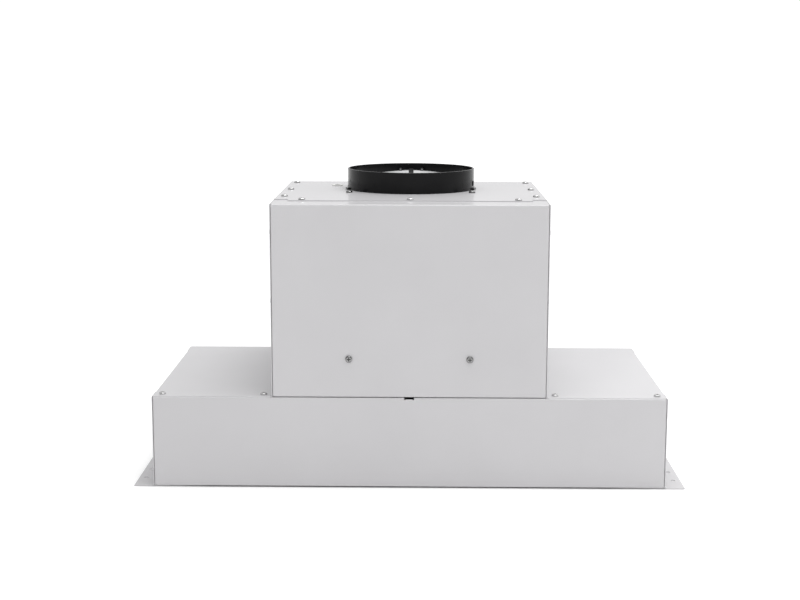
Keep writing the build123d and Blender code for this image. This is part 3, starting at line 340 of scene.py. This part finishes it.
def vulcanised_rubber(name, dark, light):
    """Moulded rubber: a soft sheen, with dusty patches."""
    material, tree, shader, place = start(name)
    dust = noise(tree, place, 3 * MM, 5.0)
    settle(shader, IOR=1.52)
    connect(tree, shader,
            Base_Color=spread(tree, dust, linear(dark), linear(light)),
            Roughness=ranged(tree, dust, 0.6, 0.8),
            Normal=uneven(tree, dust, 0.2, 0.2 * MM))
    return material


def pressed_glass():
    """Frosted pressed glass: milky and half clear."""
    material, tree, shader, place = start("pressed_glass")
    frost = noise(tree, place, 0.9 * MM)
    settle(shader, IOR=1.5, Transmission_Weight=0.55)
    connect(tree, shader,
            Base_Color=spread(tree, frost, linear("#E6E9EA"), linear("#F7F8F8")),
            Roughness=ranged(tree, frost, 0.35, 0.55),
            Normal=uneven(tree, frost, 0.15))
    return material


def nylon_around_pin(node, pivot):
    """Black nylon moulded around a steel pin: satin black, with the metal inside the pin's radius."""
    material, tree, shader, place = start(f"{node}_nylon_and_steel")
    fine = noise(tree, place, 0.5 * MM)
    steel = reckon(tree, "LESS_THAN", from_line(tree, place, pivot, (1, 0, 1)), PIN_RADIUS)
    settle(shader, IOR=1.53)
    connect(tree, shader,
            Base_Color=spread(tree, steel, linear("#1B1B1D"), linear("#929292"), 0.0, 1.0),
            Metallic=steel,
            Roughness=ranged(tree, fine, 0.32, 0.42),
            Normal=uneven(tree, fine, 0.1))
    return material


def solder_masked_board():
    """Glass-fibre board under green solder mask, with paler copper tracks beneath it."""
    material, tree, shader, place = start("solder_masked_board")
    fields = {
        socket: (*linear(colour), 1)
        for socket, colour in (("Color1", "#0E5A2C"), ("Color2", "#115F30"), ("Mortar", "#2E8A4F"))}
    tracks = add(tree, "ShaderNodeTexBrick", {
        "Vector": place, "Scale": grain_scale(12 * MM), "Mortar Size": 0.06, **fields})
    settle(shader, IOR=1.5, Roughness=0.28)
    connect(tree, shader, Base_Color=tracks.outputs["Color"])
    return material


# ---- helpers for pieces ----
def dress(material, *names):
    """Give CAD nodes a finish."""
    for name in names:
        for held in frame["nodes"][name].material_slots:
            held.material = material


def sides(name):
    """The left and the right node of a pair."""
    return f"{name}_left", f"{name}_right"


def body_with(node):
    """The body that a CAD node rides on."""
    bodies = frame["record"]["behaviour"]["bodies"]
    return next(body for body, nodes in bodies.items() if node in nodes)


def joint_of(node):
    """The joint that moves the body a CAD node rides on."""
    return next(joint for joint in frame["joints"] if joint["child"] == body_with(node))


def finish_piece(bm, name, material, rides_on, smooth=None):
    """Turn a bmesh into an object on a body. smooth is the angle in degrees under which faces blend."""
    bmesh.ops.recalc_face_normals(bm, faces=bm.faces)
    mesh = bpy.data.meshes.new(name)
    bm.to_mesh(mesh)
    bm.free()
    piece = bpy.data.objects.new(name, mesh)
    bpy.context.scene.collection.objects.link(piece)
    mesh.materials.append(material)
    if smooth:
        mesh.shade_smooth()
        mesh.set_sharp_from_angle(angle=math.radians(smooth))
    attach(piece, rides_on)
    return piece


# ---- shapes of the fine pieces ----
def expanded_sheet(low, high, sizes, level, turned):
    """One layer of expanded aluminium mesh that fills a rectangle, as a bmesh of diamonds."""
    width, depth = high.x - low.x, high.y - low.y
    long_way, short_way = sizes.strand_long, sizes.strand_short
    if turned:
        long_way, short_way = short_way, long_way
    bm = bmesh.new()
    count = math.ceil(width / long_way + depth / short_way)
    bmesh.ops.create_grid(bm, x_segments=count, y_segments=count, size=count / 2)
    bmesh.ops.rotate(bm, verts=bm.verts, cent=(0, 0, 0), matrix=Matrix.Rotation(math.pi / 4, 3, "Z"))
    half_diagonal = math.sqrt(0.5)
    bmesh.ops.scale(bm, verts=bm.verts, vec=(long_way * half_diagonal, short_way * half_diagonal, 1))
    middle = (low + high) / 2
    bmesh.ops.translate(bm, verts=bm.verts, vec=(middle.x, middle.y, level))
    for spot, out in ((low, (-1, 0, 0)), (low, (0, -1, 0)), (high, (1, 0, 0)), (high, (0, 1, 0))):
        bmesh.ops.bisect_plane(bm, geom=bm.verts[:] + bm.edges[:] + bm.faces[:], dist=MESH_CUT,
                               plane_co=spot, plane_no=out, clear_outer=True)
    return bm


def ringed_lens(low, high, pitch):
    """A round lens with rings pressed into its lower face, as a bmesh spun from its section."""
    radius = (high.x - low.x) / 2
    height = high.z - low.z
    section = [(0, LENS_FACE)]
    for ring in range(1, int(radius * LENS_RINGED / pitch) + 1):
        section += [((ring - LENS_STEEP) * pitch, LENS_FACE), (ring * pitch, LENS_GROOVE)]
    section += [(radius - LENS_BEVEL, 0), (radius, LENS_BEVEL), (radius, height), (0, height)]
    bm = bmesh.new()
    points = [bm.verts.new((r, 0, z)) for r, z in section]
    edges = [bm.edges.new(pair) for pair in zip(points, points[1:])]
    bmesh.ops.spin(bm, geom=points + edges, cent=(0, 0, 0), axis=(0, 0, 1), dvec=(0, 0, 0),
                   angle=math.tau, steps=LENS_STEPS, use_merge=True, use_duplicate=False)
    bmesh.ops.remove_doubles(bm, verts=bm.verts, dist=MESH_MERGE)
    middle = (low + high) / 2
    bmesh.ops.translate(bm, verts=bm.verts, vec=(middle.x, middle.y, low.z))
    return bm


def coil_spring(low, high):
    """Round wire wound about Y into an open coil that fills a box, as a closed bmesh."""
    wire = SPRING_WIRE / 2
    centre = (low + high) / 2
    steps = SPRING_TURNS * SPRING_STEPS
    bm = bmesh.new()
    end = Matrix.Translation((high.x - wire, low.y + wire, centre.z))
    ring = bmesh.ops.create_circle(bm, segments=SPRING_SIDES, radius=wire, matrix=end)["verts"]
    bmesh.ops.spin(bm, geom=ring + bm.edges[:], cent=centre, axis=(0, 1, 0), steps=steps,
                   angle=SPRING_TURNS * math.tau, dvec=(0, (high.y - low.y - SPRING_WIRE) / steps, 0))
    bmesh.ops.holes_fill(bm, edges=[edge for edge in bm.edges if edge.is_boundary])
    return bm


# ---- pieces ----
class HOOD_OT_panels(bpy.types.Operator):
    """Powder coat on every panel and on the rivets"""

    bl_idname = "hood.panels"
    bl_label = "Panels"

    def execute(self, context):
        paint = powder_coated_steel(tuple(context.scene.hood_colours.paint))
        dress(paint, "canopy_front_panel", "canopy_back_panel", "housing_front_panel", "housing_back_panel",
              "housing_top_plate", "bottom_fascia", *sides("canopy_side"), *sides("canopy_wing"),
              *sides("housing_side"), "panel_rivets")
        return {"FINISHED"}


class HOOD_OT_collar(bpy.types.Operator):
    """Black duct collar, its bright flaps and their pins, the cable grommet and the motor's rubbers"""

    bl_idname = "hood.collar"
    bl_label = "Duct collar"

    def execute(self, context):
        black = tuple(context.scene.hood_colours.collar)
        plastic = moulded_abs("moulded_abs_black", black, 0.16, gloss=0.1, relief=0.03)
        dress(dull_bore(plastic, "duct_collar", DUCT_SPINE_REACH), "duct_collar")
        dress(rolled_aluminium("rolled_aluminium", linear("#E2E3E4"), "Y", 0.55), *sides("damper_flap"))
        for node in sides("flap_hinge"):
            dress(nylon_around_pin(node, Vector(joint_of(node)["pos_m"])), node)
        dress(vulcanised_rubber("pale_rubber", "#DADAD8", "#E4E4E2"), "cable_grommet")
        dress(vulcanised_rubber("black_rubber", "#161617", "#2A2A2B"), "motor_mounts")
        return {"FINISHED"}


class HOOD_OT_screws(bpy.types.Operator):
    """Nickel and zinc plate on the cross-recessed screws, in three tones of one plate: paler on the wings for
    painted light, darker on the blower for painted shade, and with painted shade in the recesses of the top plate
    and blower screws
    """

    bl_idname = "hood.screws"
    bl_label = "Screws"

    def execute(self, context):
        dress(plated_steel("nickel_plated_steel", linear("#DADADA"), 0.2, recess=1.0 * MM),
              "top_plate_screws")
        # Painted light: the wing screws' plate is made paler to stand in for the bright room it reflects.
        dress(plated_steel("zinc_plated_steel_painted_light", linear("#CFCFCF"), 0.24), "wing_screws")
        # Painted shade: the blower screws' plate is made darker to stand in for the dark room it reflects, with a
        # deeper painted shade in its recesses.
        dress(plated_steel("nickel_plated_steel_painted_shade", linear("#949494"), 0.1, recess=2.4 * MM),
              "blower_screws")
        return {"FINISHED"}


class HOOD_OT_blower(bpy.types.Operator):
    """Scroll, inlet rings, wheel, motor, brackets and capacitor"""

    bl_idname = "hood.blower"
    bl_label = "Blower"

    def execute(self, context):
        dress(galvanised_steel(), "scroll_wrap", "blower_bracket", "motor_bracket",
              *sides("scroll_side"), *sides("inlet_ring"))
        dress(rolled_aluminium("punched_aluminium", linear("#C6C9CC"), "X", 0.34), "impeller")
        dress(cast_aluminium(), "impeller_hub")
        dress(plated_steel("zinc_plated_steel", linear("#A9ABAD"), 0.34), "motor_body", "motor_shaft")
        dress(rolled_aluminium("drawn_aluminium", linear("#D0D2D4"), "X", 0.25), "capacitor")
        return {"FINISHED"}


class HOOD_OT_electronics(bpy.types.Operator):
    """Electronics box with its lid, board and terminals"""

    bl_idname = "hood.electronics"
    bl_label = "Electronics"

    def execute(self, context):
        dress(moulded_abs("moulded_abs_grey", linear("#D9D9D6"), 0.45), "electronics_box", "electronics_lid")
        dress(moulded_abs("moulded_nylon_white", linear("#ECEBE6"), 0.35), "terminal_block")
        dress(solder_masked_board(), "circuit_board")
        return {"FINISHED"}


class HOOD_OT_filters(bpy.types.Operator):
    """Filter frames and latches"""

    bl_idname = "hood.filters"
    bl_label = "Filters"

    def execute(self, context):
        dress(rolled_aluminium("anodised_aluminium", linear("#CDD0D2"), "X", 0.3), *sides("filter_frame"))
        dress(moulded_abs("moulded_nylon_black", linear("#222224"), 0.38), *sides("filter_latch"))
        return {"FINISHED"}


class HOOD_OT_grease_mesh(bpy.types.Operator):
    """Layers of expanded aluminium mesh in both grease filters"""

    bl_idname = "hood.grease_mesh"
    bl_label = "Grease mesh"

    def execute(self, context):
        sizes = context.scene.hood_sizes
        metal = rolled_aluminium("expanded_aluminium", linear("#C4C7C9"), "X", 0.32)
        for node in sides("filter_mesh"):
            low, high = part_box(node)
            inset = sizes.strand * OUTER_LAYER
            levels = (low.z + inset, (low.z + high.z) / 2, high.z - inset)
            for index, level in enumerate(levels):
                bm = expanded_sheet(low, high, sizes, level, turned=index == 1)
                piece = finish_piece(bm, f"{node}_layer_{index + 1}", metal, body_with(node))
                strands = piece.modifiers.new("strands", "WIREFRAME")
                strands.thickness = sizes.strand
                strands.use_even_offset = False
                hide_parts(node)
        return {"FINISHED"}


class HOOD_OT_latch_springs(bpy.types.Operator):
    """Coil springs behind the latches"""

    bl_idname = "hood.latch_springs"
    bl_label = "Latch springs"

    def execute(self, context):
        steel = plated_steel("spring_steel", linear("#B4B4B4"), 0.25)
        for node, latch in zip(sides("latch_spring"), sides("filter_latch")):
            low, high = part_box(node)
            piece = finish_piece(coil_spring(low, high), f"{node}_coil", steel, body_with(node),
                                 smooth=40)
            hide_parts(node)
            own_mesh(piece)
        return {"FINISHED"}


class HOOD_OT_lamps(bpy.types.Operator):
    """Lamp bezels and reflector cans"""

    bl_idname = "hood.lamps"
    bl_label = "Lamps"

    def execute(self, context):
        dress(plated_steel("polished_chrome", linear("#DEDFE0"), 0.12), *sides("lamp_bezel"))
        dress(rolled_aluminium("spun_aluminium", linear("#CCCFD1"), "Z", 0.26), *sides("lamp_can"))
        return {"FINISHED"}


class HOOD_OT_lamp_lenses(bpy.types.Operator):
    """Round lamp lenses with rings pressed into their faces"""

    bl_idname = "hood.lamp_lenses"
    bl_label = "Lamp lenses"

    def execute(self, context):
        glass = pressed_glass()
        for node in sides("lamp_lens"):
            bm = ringed_lens(*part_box(node), context.scene.hood_sizes.lens_ring)
            piece = finish_piece(bm, f"{node}_pressed", glass, body_with(node), smooth=20)
            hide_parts(node)
        return {"FINISHED"}


class HOOD_OT_buttons(bpy.types.Operator):
    """Push buttons with their bezel and switch block"""

    bl_idname = "hood.buttons"
    bl_label = "Push buttons"

    def execute(self, context):
        dress(moulded_abs("moulded_abs_gloss", tuple(context.scene.hood_colours.buttons), 0.22, 1.5 * MM),
              "button_off", "button_low", "button_medium", "button_high", "button_light")
        dress(moulded_abs("moulded_abs_dark", linear("#3A3A3C"), 0.3), "switch_bezel", "switch_body")
        return {"FINISHED"}


# ---- studio ----
CAMERA_PLACE = (0.0106, -1.6406, 0.4671)
CAMERA_YAW = -0.787                  # degrees, to the right
CAMERA_PITCH = 9.787                 # degrees, down
CAMERA_ROLL = 0.116                  # degrees
FOCAL_PIXELS = 1435.1                # focal length, for a frame this many pixels wide:
FRAME_PIXELS = 800
SENSOR_WIDTH = 36.0                  # millimetres
NEAREST, FARTHEST = 0.01, 50.0       # what the camera sees

ROOM_BEHIND_CAMERA = 0.54            # light from the darker half of the studio
ROOM_BACK_LEFT = 0.66                # light from the other half, left of and below a leaning edge
ROOM_BACK_RIGHT = 1.04               # and right of and above it
ROOM_TURN = 0.3                      # the halves blend where a direction's Y is within this
EDGE_OF_LIGHT = (1.0, -0.333, 0.86)  # points across the leaning edge
EDGE_SOFTNESS = 0.012
SWEEP_LIGHT = 1.06                   # white sweep behind the object
SWEEP_TOP = (0.04, 0.10)             # a direction's Z where it starts to fade and where it ends
SWEEP_SIDES = (0.1, 0.4)             # a direction's Y where it starts and where it is full

GLOW_NEAR, GLOW_FAR = 0.20, 0.50     # light that comes up through the paper near the object and far away
GLOW_REACH = (0.8, 4.0)              # distances between which it grows from the one to the other
GLOW_EDGE = 1 * MM                   # it starts this far inside the object's front and back
GLOW_FADE = (0.72, 1.06)             # and fades in between these shares of its half width
FLOOR_HALF = 14.0                    # half of the floor's width
FLOOR_DROP = 0.4 * MM                # paper below the feet

SOFT_BOXES = (                       # name, place, aim, width, height and power
    ("overhead_box", (0.3, -0.2, 1.9), (0, 0, 0.2), 1.6, 1.2, 22),
    ("right_box", (2.0, -0.6, 0.9), (0, 0, 0.15), 1.0, 1.0, 2.5),
)


def studio_paper():
    """Seamless paper: pale and matt, lit from behind, and clear from below.

    Under the object it stays dark, except to what faces it directly, so that views from below are lit.
    """
    material, tree, shader, place = start("studio_paper")
    away = add(tree, "ShaderNodeVectorMath", {0: place}, operation="LENGTH").outputs["Value"]
    glow = ranged(tree, away, GLOW_NEAR, GLOW_FAR, *GLOW_REACH)
    high = cad_box[1]
    across = add(tree, "ShaderNodeMapping", {
        "Vector": place, "Scale": (1 / high.x, 1 / (high.y - GLOW_EDGE), 0)}).outputs["Vector"]
    across = add(tree, "ShaderNodeVectorMath", {0: across}, operation="ABSOLUTE").outputs["Vector"]
    across = add(tree, "ShaderNodeSeparateXYZ", {"Vector": across}).outputs
    beside = ranged(tree, across["X"], 0.0, 1.0, *GLOW_FADE)
    before_or_behind = reckon(tree, "GREATER_THAN", across["Y"], 1.0)
    depth = add(tree, "ShaderNodeLightPath").outputs["Ray Depth"]
    once_reflected = reckon(tree, "COMPARE", depth, 1.0, 0.5)
    lit = reckon(tree, "MAXIMUM", reckon(tree, "MAXIMUM", beside, before_or_behind), once_reflected)
    settle(shader, Roughness=0.95, Specular_IOR_Level=0.1, Emission_Color=(1, 1, 1, 1))
    connect(tree, shader,
            Base_Color=spread(tree, noise(tree, place, 4 * MM, 4.0), linear("#F6F6F6"), linear("#FAFAFA")),
            Emission_Strength=reckon(tree, "MULTIPLY", glow, lit))
    from_below = add(tree, "ShaderNodeNewGeometry").outputs["Backfacing"]
    clear = add(tree, "ShaderNodeBsdfTransparent").outputs["BSDF"]
    both = add(tree, "ShaderNodeMixShader", {0: from_below, 1: shader.outputs["BSDF"], 2: clear})
    output = next(n for n in tree.nodes if n.type == "OUTPUT_MATERIAL")
    tree.links.new(both.outputs["Shader"], output.inputs["Surface"])
    return material


def studio_room():
    """Light of the room: dim in front, brighter behind past a leaning edge, and white low at the back.

    The camera itself sees white all round.
    """
    room = bpy.data.worlds.new("studio_room")
    room.use_nodes = True
    tree = room.node_tree
    tree.nodes.clear()
    spot = add(tree, "ShaderNodeTexCoord").outputs["Generated"]
    way = add(tree, "ShaderNodeSeparateXYZ", {"Vector": spot}).outputs
    edge = add(tree, "ShaderNodeVectorMath", {0: spot, 1: EDGE_OF_LIGHT}, operation="DOT_PRODUCT")
    behind = ranged(tree, edge.outputs["Value"], ROOM_BACK_LEFT, ROOM_BACK_RIGHT,
                    -EDGE_SOFTNESS, EDGE_SOFTNESS)
    walls = ranged(tree, way["Y"], ROOM_BEHIND_CAMERA, behind, -ROOM_TURN, ROOM_TURN)
    low = ranged(tree, way["Z"], SWEEP_LIGHT, 0.0, *SWEEP_TOP)
    sweep = reckon(tree, "MULTIPLY", low, ranged(tree, way["Y"], 0.0, 1.0, *SWEEP_SIDES))
    seen = reckon(tree, "MULTIPLY", add(tree, "ShaderNodeLightPath").outputs["Is Camera Ray"], SWEEP_LIGHT)
    light = reckon(tree, "MAXIMUM", reckon(tree, "MAXIMUM", walls, sweep), seen)
    sky = add(tree, "ShaderNodeBackground", {"Color": (1, 1, 1, 1), "Strength": light})
    add(tree, "ShaderNodeOutputWorld", {"Surface": sky.outputs["Background"]})
    return room


def soft_box(name, place, aim, width, height, power):
    """A large rectangular light that points at a spot."""
    data = bpy.data.lights.new(name, "AREA")
    data.shape = "RECTANGLE"
    data.size = width
    data.size_y = height
    data.energy = power
    lamp = bpy.data.objects.new(name, data)
    lamp.location = place
    lamp.rotation_euler = (Vector(aim) - Vector(place)).to_track_quat("-Z", "Y").to_euler()
    bpy.context.scene.collection.objects.link(lamp)


def camera_matrix():
    """Where the camera stands and looks, from its yaw, pitch and roll."""
    yaw, pitch, roll = (math.radians(angle) for angle in (CAMERA_YAW, CAMERA_PITCH, CAMERA_ROLL))
    ahead = Vector((math.sin(yaw) * math.cos(pitch), math.cos(yaw) * math.cos(pitch), -math.sin(pitch)))
    right = Vector((math.cos(yaw), -math.sin(yaw), 0))
    up = right.cross(ahead)
    rolled_right = right * math.cos(roll) + up * math.sin(roll)
    rolled_up = up * math.cos(roll) - right * math.sin(roll)
    turn = Matrix((rolled_right, rolled_up, -ahead)).transposed()
    return Matrix.Translation(CAMERA_PLACE) @ turn.to_4x4()


class HOOD_OT_stage(bpy.types.Operator):
    """Pale floor, soft studio light and the camera"""

    bl_idname = "hood.stage"
    bl_label = "Stage"

    def execute(self, context):
        scene = context.scene
        bm = bmesh.new()
        bmesh.ops.create_grid(bm, x_segments=1, y_segments=1, size=FLOOR_HALF)
        bmesh.ops.translate(bm, verts=bm.verts, vec=(0, 0, -FLOOR_DROP))
        mesh = bpy.data.meshes.new("studio_floor")
        bm.to_mesh(mesh)
        bm.free()
        floor = bpy.data.objects.new("studio_floor", mesh)
        scene.collection.objects.link(floor)
        mesh.materials.append(studio_paper())

        scene.world = studio_room()
        for box in SOFT_BOXES:
            soft_box(*box)

        data = bpy.data.cameras.new("camera")
        data.sensor_width = SENSOR_WIDTH
        data.lens = FOCAL_PIXELS * SENSOR_WIDTH / FRAME_PIXELS
        data.clip_start = NEAREST
        data.clip_end = FARTHEST
        camera = bpy.data.objects.new("camera", data)
        camera.matrix_world = camera_matrix()
        scene.collection.objects.link(camera)
        scene.camera = camera
        scene.view_settings.view_transform = "Standard"
        return {"FINISHED"}


OPERATORS = (
    HOOD_OT_stage,
    HOOD_OT_panels,
    HOOD_OT_collar,
    HOOD_OT_screws,
    HOOD_OT_blower,
    HOOD_OT_electronics,
    HOOD_OT_filters,
    HOOD_OT_grease_mesh,
    HOOD_OT_latch_springs,
    HOOD_OT_lamps,
    HOOD_OT_lamp_lenses,
    HOOD_OT_buttons,
)


class HOOD_PT_pieces(bpy.types.Panel):
    """Sidebar list of the hood's sizes, colours and pieces"""

    bl_idname = "HOOD_PT_pieces"
    bl_label = "Range hood"
    bl_space_type = "VIEW_3D"
    bl_region_type = "UI"
    bl_category = "Range hood"

    def draw(self, context):
        for group in (context.scene.hood_sizes, context.scene.hood_colours):
            for name in group.__annotations__:
                self.layout.prop(group, name)
        for operator in OPERATORS:
            self.layout.operator(operator.bl_idname)


CLASSES = (HoodSizes, HoodColours, *OPERATORS, HOOD_PT_pieces)


def register():
    """Register every class and hang the two property groups on the scene."""
    for cls in CLASSES:
        bpy.utils.register_class(cls)
    bpy.types.Scene.hood_sizes = bpy.props.PointerProperty(type=HoodSizes)
    bpy.types.Scene.hood_colours = bpy.props.PointerProperty(type=HoodColours)


def unregister():
    """Take away what register added, in the opposite order."""
    del bpy.types.Scene.hood_colours
    del bpy.types.Scene.hood_sizes
    for cls in reversed(CLASSES):
        bpy.utils.unregister_class(cls)


def main():
    register()
    for operator in OPERATORS:
        group, name = operator.bl_idname.split(".")
        getattr(getattr(bpy.ops, group), name)()


if __name__ == "__main__":
    main()
